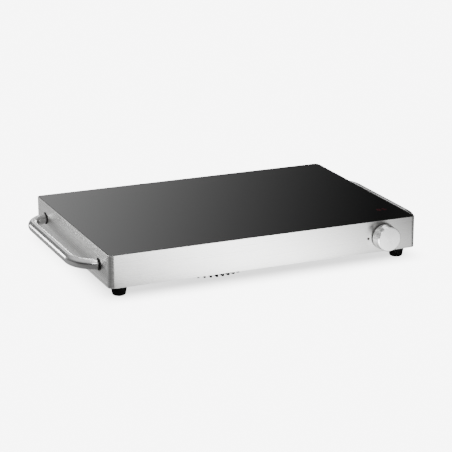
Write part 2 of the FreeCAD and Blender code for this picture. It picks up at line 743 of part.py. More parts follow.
# Control: a turned metal knob on the flatted shaft of the regulator, over a black collar
def make_control():
    at = (KNOB_X, "-body_depth/2", "foot_height + knob_height", TO_FRONT)
    front = "knob_gap + knob_length"
    bore = "shaft_radius + thread_gap"
    hub = "bush_length + hole_gap"
    socket = f"{hub} + shaft_grip"
    knob = part("control_knob", *at)
    turned(knob, [("0", socket), (bore, socket), (bore, hub), ("knob_hub_radius", hub),
                  ("knob_hub_radius", "knob_gap + knob_recess"),
                  ("knob_radius - knob_wall", "knob_gap + knob_recess"),
                  ("knob_radius - knob_wall", "knob_gap"), ("knob_radius", "knob_gap"),
                  ("knob_face_radius", f"{front} - knob_rim"),
                  ("knob_face_radius - knob_rim", front), ("0", front)])
    mark = sketch_on(knob, "mark", offset=front)
    rectangle(mark, "-knob_face_radius - knob_rim", "-knob_face_radius + knob_mark_length",
              "-knob_mark_width/2", "knob_mark_width/2")
    pocket(knob, mark, "knob_mark_depth")
    grub_level = f"({socket} + knob_gap + knob_recess)/2"
    tap = sketch_on(knob, "grub_hole", "XZ_Plane")
    circle(tap, "screw_radius + thread_gap", "0", grub_level)
    pocket(knob, tap, "knob_radius + tap_runout", flip=True)

    grub = part("knob_grub_screw", *at)
    stem = sketch_on(grub, "stem", "XZ_Plane", "shaft_radius + seat_gap")
    circle(stem, "screw_radius", "0", grub_level)
    pad(grub, stem, "knob_hub_radius - shaft_radius")

    shaft = part("control_shaft", *at)
    rod = sketch_on(shaft, "rod", offset="-wall - shaft_tail")
    circle(rod, "shaft_radius")
    pad(shaft, rod, f"{socket} - seat_gap + wall + shaft_tail")
    flat = sketch_on(shaft, "flat", offset=hub)
    rectangle(flat, "-shaft_radius", "shaft_radius", "-shaft_radius", "shaft_flat - shaft_radius")
    pocket(shaft, flat, "shaft_grip + knob_length", flip=True)

    regulator = part("power_regulator", *at)
    face = "(wall + frame_sheet + seat_gap)"
    back = f"{face} + regulator_depth"
    case = sketch_on(regulator, "case", offset=f"-({back})")
    rounded(case, "regulator_side/2", "regulator_side/2", "frame_corner")
    pad(regulator, case, "regulator_depth")
    boss = sketch_on(regulator, "boss", offset=f"-{face}")
    circle(boss, "regulator_boss")
    pad(regulator, boss, f"{face} - wall")
    bush = sketch_on(regulator, "bush", offset="-wall")
    circle(bush, "bush_radius")
    pad(regulator, bush, "bush_length + wall")
    bore = sketch_on(regulator, "bore", offset="bush_length")
    circle(bore, "shaft_radius + running_gap")
    pocket(regulator, bore, "bush_length + wall + shaft_tail + 2*seat_gap")
    blades = sketch_on(regulator, "blades", offset=f"-({back})")
    for column, row in four_corners("blade_pitch_across/2", "blade_pitch_up/2"):
        rectangle(blades, f"{column} - blade_width/2", f"{column} + blade_width/2",
                  f"{row} - blade_thickness/2", f"{row} + blade_thickness/2")
    pad(regulator, blades, "blade_length", flip=True)

    nut = part("regulator_nut", *at)
    outline = sketch_on(nut, "hexagon", offset="collar_thickness")
    hexagon(outline, "bush_nut_flats")
    circle(outline, "bush_radius + thread_gap")
    pad(nut, outline, "bush_nut_height")

    collar = part("knob_collar", *at)
    ring = sketch_on(collar, "ring")
    circle(ring, "collar_radius")
    circle(ring, "bush_radius + hole_gap")
    pad(collar, ring, "collar_thickness")


# Pilot lamp: a small dark lens through the panel, held by a plastic body behind it
def make_pilot_lamp():
    at = (LAMP_X, "-body_depth/2", "foot_height + lamp_height", TO_FRONT)
    lens = part("pilot_lamp_lens", *at)
    turned(lens, [("0", "-wall - lamp_flange"), ("lamp_flange_radius", "-wall - lamp_flange"),
                  ("lamp_flange_radius", "-wall"), ("lamp_radius", "-wall"),
                  ("lamp_radius", "lamp_dome - lamp_edge"),
                  ("lamp_radius - lamp_edge", "lamp_dome"), ("0", "lamp_dome")])
    holder = part("pilot_lamp_body", *at)
    shell = sketch_on(holder, "shell", offset="-wall - lamp_flange - lamp_body_length")
    circle(shell, "lamp_body_radius")
    pad(holder, shell, "lamp_body_length + lamp_flange")
    cup = sketch_on(holder, "cup", offset="-wall - lamp_flange")
    circle(cup, "lamp_flange_radius + thread_gap")
    pocket(holder, cup, "lamp_flange", flip=True)


# Heater pack: an aluminium spreader held up against the glass, a serpentine tubular element
# under it, clamp bars, an insulation board and the sheet tray that carries them on pillars
def make_heater():
    spreader = part("heat_spreader", y=HEATER_Y, z=f"foot_height + {SPREADER_BOTTOM}")
    outline = sketch_on(spreader, "outline")
    rounded(outline, SPREADER_X, SPREADER_Y, "frame_corner")
    pad(spreader, outline, "spreader_sheet")
    taps = sketch_on(spreader, "taps")
    for column in (-1, 0, 1):
        for side in (-1, 1):
            circle(taps, "screw_radius + thread_gap", f"{column}*bar_spacing", f"{side}*({BAR_SCREW_Y})")
    pocket(spreader, taps, "spreader_sheet - blind_floor", flip=True)

    element = part("heating_element", y=HEATER_Y, z=f"foot_height + {ELEMENT_LEVEL}")
    spine = sketch_on(element, "serpentine")
    runs = SIZES["element_runs"]
    lines = []
    for run in range(runs):
        y = f"({run} - (element_runs - 1)/2)*{ELEMENT_PITCH}"
        left = f"-{ELEMENT_END}" if run in (0, runs - 1) else f"-{ELEMENT_RUN}"
        ends = (left, ELEMENT_RUN) if run % 2 == 0 else (ELEMENT_RUN, left)
        start, end = (Vector(value(x), value(y), 0) for x in ends)
        line = spine.addGeometry(Part.LineSegment(start, end), False)
        tie_point(spine, line, 1, ends[0], y)
        tie_point(spine, line, 2, ends[1], y)
        if lines:
            side = 1 if run % 2 else -1
            centre = Vector(side * value(ELEMENT_RUN), value(f"{y} - {ELEMENT_PITCH}/2"), 0)
            ring = Part.Circle(centre, Vector(0, 0, 1), value(f"{ELEMENT_PITCH}/2"))
            quarter = math.pi/2
            start, end = (-quarter, quarter) if side > 0 else (quarter, 3 * quarter)
            bend = spine.addGeometry(Part.ArcOfCircle(ring, start, end), False)
            first, last = (1, 2) if side > 0 else (2, 1)
            spine.addConstraint(Sketcher.Constraint("Coincident", lines[-1], 2, bend, first))
            spine.addConstraint(Sketcher.Constraint("Coincident", line, 1, bend, last))
            tie(spine, "DistanceX", f"{side}*{ELEMENT_RUN}", -1, 1, bend, 3)
        lines.append(line)
    doc.recompute()
    section = sketch_on(element, "section", "YZ_Plane", f"-{ELEMENT_END}")
    circle(section, "element_radius", f"-(element_runs - 1)/2*{ELEMENT_PITCH}", "0")
    tube = element.newObject("PartDesign::AdditivePipe", "element_tube")
    tube.Profile = section
    tube.Spine = (spine, [f"Edge{number}" for number in range(1, len(spine.Shape.Edges) + 1)])
    element.Tip = tube

    bars = part("element_bars", "-bar_spacing", HEATER_Y, f"foot_height + {BAR_BOTTOM}")
    outline = sketch_on(bars, "bar")
    half = f"{BAR_SCREW_Y} + bar_width/2"
    rectangle(outline, "-bar_width/2", "bar_width/2", f"-({half})", half)
    for side in (-1, 1):
        circle(outline, "screw_radius + hole_gap", "0", f"{side}*({BAR_SCREW_Y})")
    grid(bars, pad(bars, outline, "bar_sheet"), "2*bar_spacing", "0", columns=3, rows=1)
    screws = part("bar_screws", "-bar_spacing", f"{HEATER_Y} - {BAR_SCREW_Y}",
                  f"foot_height + {BAR_BOTTOM}")
    length = "bar_sheet + 2*element_radius + 2*seat_gap + spreader_sheet - tap_runout"
    screw = turned(screws, screw_outline("screw_head_radius", "screw_head_height", "screw_radius", length))
    grid(screws, screw, "2*bar_spacing", f"2*({BAR_SCREW_Y})", columns=3)

    tray = part("insulation_tray", y=HEATER_Y, z=f"foot_height + {TRAY_BOTTOM}")
    outline = sketch_on(tray, "outline")
    rounded(outline, TRAY_X, TRAY_Y, "frame_corner")
    pad(tray, outline, "tray_height")
    flat_ring(tray, "tray_height", f"{TRAY_X} - tray_sheet", f"{TRAY_Y} - tray_sheet",
              "frame_corner - tray_sheet", flip=True, offset="tray_sheet")
    holes = sketch_on(tray, "tail_holes", "YZ_Plane", f"-{TRAY_X}")
    for side in (-1, 1):
        circle(holes, "element_radius + hole_gap", f"{side}*(element_runs - 1)/2*{ELEMENT_PITCH}",
               f"{ELEMENT_LEVEL} - {TRAY_BOTTOM}")
    pocket(tray, holes, "2*tray_sheet", flip=True)
    seats = sketch_on(tray, "pillar_seats")
    for x, y in four_corners(PILLAR_X, PILLAR_Y):
        circle(seats, "bolt_radius + hole_gap", x, y)
    pocket(tray, seats, "tray_sheet", flip=True)

    board = part("insulation_board", y=HEATER_Y, z=f"foot_height + {TRAY_BOTTOM} + tray_sheet")
    outline = sketch_on(board, "outline")
    rounded(outline, f"{TRAY_X} - tray_sheet - insulation_gap",
            f"{TRAY_Y} - tray_sheet - insulation_gap", "frame_corner - tray_sheet")
    pad(board, outline, "insulation_thickness")

    pillars = part("tray_pillars", f"-({PILLAR_X})", f"{HEATER_Y} - ({PILLAR_Y})",
                   "foot_height + plate_sheet")
    outline = sketch_on(pillars, "hexagon")
    hexagon(outline, "pillar_flats")
    circle(outline, "screw_radius + thread_gap")
    column = pad(pillars, outline, f"{TRAY_BOTTOM} - plate_sheet")
    grid(pillars, column, f"2*({PILLAR_X})", f"2*({PILLAR_Y})")
    screws = part("pillar_screws", f"-({PILLAR_X})", f"{HEATER_Y} - ({PILLAR_Y})")
    screw = turned(screws, screw_outline("screw_head_radius", "screw_head_height", "screw_radius",
                                         "plate_sheet + pillar_screw_grip"))
    grid(screws, screw, f"2*({PILLAR_X})", f"2*({PILLAR_Y})")


# Safety cut-out and temperature sensor: both are clipped to the underside of the spreader
def make_sensors():
    cutout = part("thermal_cutout", "bar_spacing/2", HEATER_Y, f"foot_height + {SPREADER_BOTTOM}")
    disc = sketch_on(cutout, "disc")
    circle(disc, "cutout_radius")
    pad(cutout, disc, "cutout_height", flip=True)
    blades = sketch_on(cutout, "blades", offset="-cutout_height")
    for side in (-1, 1):
        at = f"{side}*cutout_blade_pitch/2"
        rectangle(blades, f"{at} - blade_thickness/2", f"{at} + blade_thickness/2",
                  "-blade_width/2", "blade_width/2")
    pad(cutout, blades, "cutout_blade_length", flip=True)
    sensor = part("temperature_sensor", "-bar_spacing/2", HEATER_Y,
                  f"foot_height + {SPREADER_BOTTOM}")
    block = sketch_on(sensor, "block")
    rounded(block, "sensor_length/2", "sensor_width/2", "sensor_width/4")
    pad(sensor, block, "sensor_height", flip=True)


# Control board: relay and transformer on a board that stands on four spacers
def make_control_board():
    spacers = part("board_spacers", f"{BOARD_X} - ({BOARD_HOLE_X})", f"{BOARD_Y} - ({BOARD_HOLE_Y})",
                   "foot_height + plate_sheet")
    ring = sketch_on(spacers, "ring")
    circle(ring, "screw_head_radius")
    circle(ring, "screw_radius + hole_gap")
    grid(spacers, pad(spacers, ring, "spacer_height"), f"2*({BOARD_HOLE_X})", f"2*({BOARD_HOLE_Y})")
    level = "foot_height + plate_sheet + spacer_height"
    board = part("control_board", BOARD_X, BOARD_Y, level)
    outline = sketch_on(board, "outline")
    rounded(outline, "board_width/2", "board_depth/2", "board_corner")
    for x, y in four_corners(BOARD_HOLE_X, BOARD_HOLE_Y):
        circle(outline, "screw_radius + hole_gap", x, y)
    pad(board, outline, "board_sheet")
    blocks = (("relay", "board_width/2 - relay_inset - relay_length/2", "relay_length",
               "relay_width", "relay_height"),
              ("transformer", "transformer_inset + transformer_length/2 - board_width/2",
               "transformer_length", "transformer_width", "transformer_height"))
    for label, x, length, width, height in blocks:
        block = part(label, f"{BOARD_X} + {x}", BOARD_Y, f"{level} + board_sheet")
        outline = sketch_on(block, "outline")
        rounded(outline, f"{length}/2", f"{width}/2", "board_corner")
        pad(block, outline, height)


# Display: a two-digit module under the front right corner of the glass, on its own posts
def make_display():
    top = f"{GLASS_BOTTOM} - display_gap"
    module = part("display_module", DISPLAY_X, DISPLAY_Y,
                  f"foot_height + {top} - display_height")
    outline = sketch_on(module, "outline")
    rounded(outline, "display_width/2", "display_depth/2", "display_corner")
    pad(module, outline, "display_height")
    level = f"{top} - display_height - board_sheet"
    board = part("display_board", DISPLAY_X, DISPLAY_Y, f"foot_height + {level}")
    outline = sketch_on(board, "outline")
    rounded(outline, "display_board_width/2", "display_board_depth/2", "board_corner")
    pad(board, outline, "board_sheet")
    posts = part("display_posts", f"{DISPLAY_X} - ({DISPLAY_POST_X})",
                 f"{DISPLAY_Y} - ({DISPLAY_POST_Y})", "foot_height + plate_sheet")
    outline = sketch_on(posts, "post")
    circle(outline, "display_post_radius")
    grid(posts, pad(posts, outline, f"{level} - plate_sheet"), f"2*({DISPLAY_POST_X})",
         f"2*({DISPLAY_POST_Y})")


# Mains inlet: a screwed gland with an open bore for the lead, its lock nut, the terminal
# block it feeds and the earth stud beside it
def make_inlet():
    at = (GLAND_X, "body_depth/2", "foot_height + gland_height", TO_REAR)
    gland = part("cable_gland", *at)
    stem_end = "-wall - gland_inside"
    turned(gland, [("gland_bore", stem_end), ("gland_thread", stem_end), ("gland_thread", "0"),
                   ("gland_flats/2", "0"), ("gland_flats/2", "gland_hex"),
                   ("gland_flats/2 - gland_nut_step", "gland_hex + gland_chamfer"),
                   ("gland_flats/2 - gland_nut_step", "gland_reach - gland_taper"),
                   ("gland_tip_radius", "gland_reach"),
                   ("gland_bore", "gland_reach")])
    base = sketch_on(gland, "hexagon")
    hexagon(base, "gland_flats")
    circle(base, "gland_flats/2 - gland_nut_step")
    pad(gland, base, "gland_hex")
    nut = part("gland_locknut", *at)
    outline = sketch_on(nut, "hexagon", offset="-wall - locknut_height")
    hexagon(outline, "locknut_flats")
    circle(outline, "gland_thread + thread_gap")
    pad(nut, outline, "locknut_height")

    block = part("terminal_block", f"{GLAND_X} - terminal_offset",
                 "body_depth/2 - terminal_from_rear", "foot_height + plate_sheet")
    outline = sketch_on(block, "outline")
    rounded(outline, "terminal_length/2", "terminal_width/2", "board_corner")
    pad(block, outline, "terminal_height")
    wells = sketch_on(block, "wells", offset="terminal_height")
    for pole in range(SIZES["terminal_poles"]):
        x = f"({pole} - (terminal_poles - 1)/2)*terminal_length/terminal_poles"
        for side in (-1, 1):
            circle(wells, "screw_head_radius", x, f"{side}*terminal_width/4")
    pocket(block, wells, "terminal_height/2")

    earth = (f"{GLAND_X} + earth_offset", "body_depth/2 - earth_from_rear", "foot_height + plate_sheet")
    stud = part("earth_stud", *earth)
    rod = sketch_on(stud, "rod")
    circle(rod, "bolt_radius")
    pad(stud, rod, "earth_length")
    nut = part("earth_nut", *earth)
    outline = sketch_on(nut, "hexagon")
    hexagon(outline, "bolt_nut_flats")
    circle(outline, "bolt_radius + thread_gap")
    pad(nut, outline, "bolt_nut_height")


make_housing()
make_frames()
make_glass()
make_bottom_plate()
make_feet()
make_vent()
make_handles()
make_control()
make_pilot_lamp()
make_heater()
make_sensors()
make_control_board()
make_display()
make_inlet()
doc.recompute()

# Nothing is written until every feature is sound and every cut has cut something
CUTS = ("PartDesign::Pocket", "PartDesign::SubtractivePipe")
LEAST_CUT = 0.01
for thing in doc.Objects:
    if {"Invalid", "Error"} & set(thing.State):
        raise RuntimeError(f"{thing.Label} failed: {thing.State}")
    if thing.TypeId in CUTS:
        if thing.Shape.Volume > thing.BaseFeature.Shape.Volume - LEAST_CUT:
            raise RuntimeError(f"{thing.Label} cuts nothing")

os.makedirs("parts", exist_ok=True)
bodies = [thing for thing in doc.Objects if thing.TypeId == "PartDesign::Body"]
for body in bodies:
    if body.Shape.isNull() or not body.Shape.isValid():
        raise RuntimeError(f"{body.Label} has no valid shape")
for body in bodies:
    body.Shape.exportStep(f"parts/{body.Label}.step")
print(f"{len(bodies)} sub-parts written")
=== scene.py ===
import math

import bmesh
import bpy
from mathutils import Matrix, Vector


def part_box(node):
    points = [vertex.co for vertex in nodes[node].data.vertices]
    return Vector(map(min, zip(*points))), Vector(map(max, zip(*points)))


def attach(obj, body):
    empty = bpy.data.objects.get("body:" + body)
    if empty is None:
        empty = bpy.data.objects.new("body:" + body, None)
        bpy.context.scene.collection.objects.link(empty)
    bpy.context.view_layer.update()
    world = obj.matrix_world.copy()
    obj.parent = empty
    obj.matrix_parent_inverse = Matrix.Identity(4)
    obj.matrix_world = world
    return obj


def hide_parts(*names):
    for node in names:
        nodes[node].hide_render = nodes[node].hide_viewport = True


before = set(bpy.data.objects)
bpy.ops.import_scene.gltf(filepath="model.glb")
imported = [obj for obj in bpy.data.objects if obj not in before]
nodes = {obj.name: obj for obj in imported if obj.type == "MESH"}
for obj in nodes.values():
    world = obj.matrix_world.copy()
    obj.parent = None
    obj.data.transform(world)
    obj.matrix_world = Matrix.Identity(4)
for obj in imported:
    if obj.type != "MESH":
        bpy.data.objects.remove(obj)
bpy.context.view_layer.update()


# Housing: one strip of stainless sheet, brushed lengthwise before it was bent round four
# corners and welded at the rear. Its grain runs level round the box.
def new_finish(name, colour, roughness, metallic=0.0):
    """A material with its shader's plain values set, ready for its own nodes."""
    finish = bpy.data.materials.new(name)
    finish.use_nodes = True
    shader = finish.node_tree.nodes["Principled BSDF"]
    shader.inputs["Base Color"].default_value = (*colour, 1)
    shader.inputs["Roughness"].default_value = roughness
    shader.inputs["Metallic"].default_value = metallic
    return finish, shader


def node(tree, kind, settings=None, **inputs):
    """A node with its settings, and with each input given a value or a link."""
    made = tree.nodes.new(kind)
    for name, setting in (settings or {}).items():
        setattr(made, name, setting)
    for name, given in inputs.items():
        socket = made.inputs[int(name[1:])] if name[1:].isdigit() else made.inputs[name]
        if isinstance(given, bpy.types.NodeSocket):
            tree.links.new(given, socket)
        else:
            socket.default_value = given
    return made


def effect(name, inputs, outputs):
    """An empty shader group with its named sockets."""
    tree = bpy.data.node_groups.new(name, "ShaderNodeTree")
    for label, kind, start in inputs:
        socket = tree.interface.new_socket(label, in_out="INPUT", socket_type=kind)
        if start is not None:
            socket.default_value = start
    for label, kind in outputs:
        tree.interface.new_socket(label, in_out="OUTPUT", socket_type=kind)
    return tree, tree.nodes.new("NodeGroupInput").outputs, tree.nodes.new("NodeGroupOutput").inputs


def use_effect(tree, group, **inputs):
    made = tree.nodes.new("ShaderNodeGroup")
    made.node_tree = group
    for name, given in inputs.items():
        socket = made.inputs[name]
        if isinstance(given, bpy.types.NodeSocket):
            tree.links.new(given, socket)
        else:
            socket.default_value = given
    return made.outputs


def brushing_effect():
    """Fine scratches drawn out along the grain, over slower bands and faint handling marks."""
    tree, given, out = effect(
        "brushing",
        [("Place", "NodeSocketVector", None), ("Grain", "NodeSocketVector", (1, 1, 1)),
         ("Depth", "NodeSocketFloat", 0.3), ("Dark", "NodeSocketColor", None),
         ("Light", "NodeSocketColor", None), ("Smooth", "NodeSocketFloat", 0.2),
         ("Rough", "NodeSocketFloat", 0.4)],
        [("Color", "NodeSocketColor"), ("Roughness", "NodeSocketFloat"),
         ("Normal", "NodeSocketVector")])
    drawn = node(tree, "ShaderNodeVectorMath", {"operation": "MULTIPLY"},
                 _0=given["Place"], _1=given["Grain"]).outputs[0]
    scratches = node(tree, "ShaderNodeTexNoise", Vector=drawn, Scale=1.0, Detail=3.0,
                     Roughness=0.6).outputs["Fac"]
    bands = node(tree, "ShaderNodeTexNoise", Vector=drawn, Scale=0.22, Detail=2.0).outputs["Fac"]
    marks = node(tree, "ShaderNodeTexNoise", Vector=given["Place"], Scale=14.0,
                 Detail=4.0).outputs["Fac"]
    grain = node(tree, "ShaderNodeMix", {"data_type": "FLOAT"}, Factor=0.4, _2=scratches,
                 _3=bands).outputs[0]
    tone = node(tree, "ShaderNodeMapRange", Value=grain, _1=0.3, _2=0.7).outputs[0]
    colour = node(tree, "ShaderNodeMix", {"data_type": "RGBA"}, _0=tone, _6=given["Dark"],
                  _7=given["Light"]).outputs[2]
    worn = node(tree, "ShaderNodeMix", {"data_type": "FLOAT"}, Factor=0.35, _2=tone,
                _3=marks).outputs[0]
    rough = node(tree, "ShaderNodeMapRange", Value=worn, _1=0.2, _2=0.8, _3=given["Smooth"],
                 _4=given["Rough"]).outputs[0]
    bump = node(tree, "ShaderNodeBump", Height=scratches, Strength=given["Depth"],
                Distance=0.00006).outputs[0]
    tree.links.new(colour, out["Color"])
    tree.links.new(rough, out["Roughness"])
    tree.links.new(bump, out["Normal"])
    return tree


brushing = brushing_effect()


def wear(tree, shader, got):
    """Link an effect's colour, roughness and bump to a shader."""
    for source, target in (("Color", "Base Color"), ("Roughness", "Roughness"),
                           ("Normal", "Normal")):
        tree.links.new(got[source], shader.inputs[target])


def brushed_metal(name, dark, light, smooth, rough, grain, depth, along=None, axis=None,
                  stretch=0.0):
    """Metal with a grain. With an axis, its highlights stretch across a grain that runs round it."""
    finish, shader = new_finish(name, light, rough, 1.0)
    tree = finish.node_tree
    place = node(tree, "ShaderNodeTexCoord").outputs[along or "Object"]
    got = use_effect(tree, brushing, Place=place, Grain=grain, Depth=depth, Dark=(*dark, 1),
                     Light=(*light, 1), Smooth=smooth, Rough=rough)
    wear(tree, shader, got)
    if axis:
        stretch_highlights(tree, shader, axis, stretch)
    return finish


def stretch_highlights(tree, shader, axis, stretch):
    """Spread the reflections across a grain that runs round the axis, as real brushing does."""
    quarter_turn = 0.25
    around = node(tree, "ShaderNodeTangent", {"direction_type": "RADIAL", "axis": axis})
    tree.links.new(around.outputs[0], shader.inputs["Tangent"])
    shader.inputs["Anisotropic"].default_value = stretch
    shader.inputs["Anisotropic Rotation"].default_value = quarter_turn


def dress(finish, *names):
    """Give CAD nodes a finish, in place of the one they were packed with."""
    for name in names:
        mesh = nodes[name].data
        mesh.materials.clear()
        mesh.materials.append(finish)


brushed_sheet = brushed_metal("brushed_sheet", (0.66, 0.66, 0.65), (0.78, 0.78, 0.77), 0.24, 0.32,
                              (14, 14, 1500), 0.15, axis="Z", stretch=0.9)
dress(brushed_sheet, "housing")


# Glass top: a plate of black glass-ceramic with ground and polished edges. The digits of the
# temperature show through it at the front right, lit from below.
DIGIT_HEIGHT = 0.0075
DIGIT_WIDTH = 0.0055
DIGIT_STEP = 0.0095
BAR_THICKNESS = 0.001
SEGMENTS = {"top": (0, 1, "level"), "middle": (0, 0, "level"), "bottom": (0, -1, "level"),
            "upper_left": (-1, 0.5, "upright"), "upper_right": (1, 0.5, "upright"),
            "lower_left": (-1, -0.5, "upright"), "lower_right": (1, -0.5, "upright")}
LIT = {"8": list(SEGMENTS), "5": ["top", "middle", "bottom", "upper_left", "lower_right"]}


def display_mask(tree, reading):
    """1 on the lit bars of the reading and 0 around them, by place on the glass."""
    low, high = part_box("display_module")
    middle = (low + high) / 2
    place = node(tree, "ShaderNodeTexCoord").outputs["Object"]
    split = node(tree, "ShaderNodeSeparateXYZ", Vector=place).outputs
    total = None
    for index, digit in enumerate(reading):
        centre_x = middle.x + (index - (len(reading) - 1) / 2) * DIGIT_STEP
        for across, up, way in (SEGMENTS[name] for name in LIT[digit]):
            half = [DIGIT_WIDTH / 2 - BAR_THICKNESS, BAR_THICKNESS / 2]
            if way == "upright":
                half = [BAR_THICKNESS / 2, DIGIT_HEIGHT / 4 - BAR_THICKNESS]
            inside = []
            for socket, at, reach in ((split[0], centre_x + across * DIGIT_WIDTH / 2, half[0]),
                                      (split[1], middle.y + up * DIGIT_HEIGHT / 2, half[1])):
                off = node(tree, "ShaderNodeMath", {"operation": "SUBTRACT"}, _0=socket, _1=at)
                away = node(tree, "ShaderNodeMath", {"operation": "ABSOLUTE"}, _0=off.outputs[0])
                inside.append(node(tree, "ShaderNodeMath", {"operation": "LESS_THAN"},
                                   _0=away.outputs[0], _1=reach).outputs[0])
            bar = node(tree, "ShaderNodeMath", {"operation": "MULTIPLY"}, _0=inside[0],
                       _1=inside[1]).outputs[0]
            total = bar if total is None else node(tree, "ShaderNodeMath",
                                                   {"operation": "MAXIMUM"}, _0=total,
                                                   _1=bar).outputs[0]
    return total


def glass_finish():
    finish, shader = new_finish("black_glass", (0.0008, 0.0008, 0.0009), 0.04)
    tree = finish.node_tree
    place = node(tree, "ShaderNodeTexCoord").outputs["Object"]
    wiping = node(tree, "ShaderNodeTexNoise", Vector=place, Scale=9.0, Detail=5.0,
                  Distortion=0.6).outputs["Fac"]
    rough = node(tree, "ShaderNodeMapRange", Value=wiping, _1=0.35, _2=0.75, _3=0.025,
                 _4=0.07).outputs[0]
    tree.links.new(rough, shader.inputs["Roughness"])
    lit = display_mask(tree, "85")
    glow = node(tree, "ShaderNodeMix", {"data_type": "RGBA"}, _0=lit, _6=(0, 0, 0, 1),
                _7=(0.085, 0.008, 0.014, 1)).outputs[2]
    tree.links.new(glow, shader.inputs["Emission Color"])
    shader.inputs["Emission Strength"].default_value = 1.0
    shader.inputs["IOR"].default_value = 1.52
    return finish


dress(glass_finish(), "glass_plate")


# Black parts: the seal is smooth silicone, and the collar, washers, gland and lamp body are
# spark-eroded mouldings. The grille is a duller one, painted darker still than black plastic as
# painted shade under the tray. The bottom plate is sheet with a fine powder coat.
def texture_effect():
    """A fine pebbled skin, with a slow change in gloss and a little pale dust on what faces up."""
    tree, given, out = effect(
        "moulded_skin",
        [("Place", "NodeSocketVector", None), ("Pebble", "NodeSocketFloat", 1500.0),
         ("Depth", "NodeSocketFloat", 0.3), ("Tint", "NodeSocketColor", None),
         ("Dust", "NodeSocketFloat", 0.05), ("Smooth", "NodeSocketFloat", 0.4),
         ("Rough", "NodeSocketFloat", 0.6)],
        [("Color", "NodeSocketColor"), ("Roughness", "NodeSocketFloat"),
         ("Normal", "NodeSocketVector")])
    pebbles = node(tree, "ShaderNodeTexNoise", Vector=given["Place"], Scale=given["Pebble"],
                   Detail=2.0).outputs["Fac"]
    drift = node(tree, "ShaderNodeTexNoise", Vector=given["Place"], Scale=35.0,
                 Detail=4.0).outputs["Fac"]
    facing = node(tree, "ShaderNodeNewGeometry").outputs["Normal"]
    upward = node(tree, "ShaderNodeSeparateXYZ", Vector=facing).outputs[2]
    settled = node(tree, "ShaderNodeMath", {"operation": "MULTIPLY", "use_clamp": True},
                   _0=upward, _1=drift).outputs[0]
    dusty = node(tree, "ShaderNodeMath", {"operation": "MULTIPLY", "use_clamp": True},
                 _0=settled, _1=given["Dust"]).outputs[0]
    colour = node(tree, "ShaderNodeMix", {"data_type": "RGBA"}, _0=dusty, _6=given["Tint"],
                  _7=(0.5, 0.48, 0.45, 1)).outputs[2]
    rough = node(tree, "ShaderNodeMapRange", Value=drift, _1=0.3, _2=0.7, _3=given["Smooth"],
                 _4=given["Rough"]).outputs[0]
    bump = node(tree, "ShaderNodeBump", Height=pebbles, Strength=given["Depth"],
                Distance=0.0001).outputs[0]
    tree.links.new(colour, out["Color"])
    tree.links.new(rough, out["Roughness"])
    tree.links.new(bump, out["Normal"])
    return tree


moulded_skin = texture_effect()


def moulded(name, tint, smooth, rough, pebble=1500.0, depth=0.3, dust=0.05, gloss=0.5):
    finish, shader = new_finish(name, tint, rough)
    shader.inputs["Specular IOR Level"].default_value = gloss
    tree = finish.node_tree
    place = node(tree, "ShaderNodeTexCoord").outputs["Object"]
    got = use_effect(tree, moulded_skin, Place=place, Pebble=pebble, Depth=depth, Tint=(*tint, 1),
                     Dust=dust, Smooth=smooth, Rough=rough)
    wear(tree, shader, got)
    return finish


dress(moulded("joint_silicone", (0.012, 0.012, 0.012), 0.35, 0.5, 700, 0.1), "glass_seal")
dress(moulded("powder_coat", (0.018, 0.018, 0.018), 0.45, 0.6, 1100, 0.5), "bottom_plate")
black_moulding = moulded("black_moulding", (0.010, 0.010, 0.010), 0.4, 0.55, gloss=0.35)
dress(black_moulding, "knob_collar", "handle_washers", "gland_locknut", "pilot_lamp_body")
# The grille's near-black is black moulding and, in part, painted shade under the tray.
dress(moulded("grille_moulding", (0.004, 0.004, 0.004), 0.55, 0.7, dust=0.01, gloss=0.1),
      "vent_grille")


# Feet: moulded rubber, matt, with a trace of dust round the tips. They taper from 26 mm at the
# tray to 17.6 mm on the table, round a well 11 mm wide.
dress(moulded("foot_rubber", (0.005, 0.005, 0.005), 0.55, 0.8, 900, 0.4, 0.03, gloss=0.2),
      "foot_front_left", "foot_front_right", "foot_rear_left", "foot_rear_right")


# Handles: stainless tube, ground to a satin finish and bent cold. Each end is cut parallel to
# the wall and stands on its washer.
MILLIMETRE = 0.001
HANDLE_REACH = 31.2 * MILLIMETRE
HANDLE_BEND = 43.8 * MILLIMETRE
HANDLE_RADIUS = 8 * MILLIMETRE
WASHER = 1 * MILLIMETRE
BOLT_HEAD_RADIUS = 4.5 * MILLIMETRE
HANDLE_ROUND = 48


def handle_spine(span):
    """Points along the bow from the front leg to the rear leg, each with its outward turn."""
    half = span / 2 - math.sqrt(HANDLE_BEND ** 2 - (HANDLE_BEND - HANDLE_REACH) ** 2)
    swing = math.acos((WASHER + HANDLE_BEND - HANDLE_REACH) / HANDLE_BEND)
    centre = HANDLE_REACH - HANDLE_BEND
    steps = 28
    spine = []
    for side in (-1, 1):
        turns = [side * swing * step / steps for step in range(steps + 1)]
        for turn in (reversed(turns) if side < 0 else turns):
            spine.append((centre + HANDLE_BEND * math.cos(turn),
                          side * half + HANDLE_BEND * math.sin(turn), turn))
    return spine


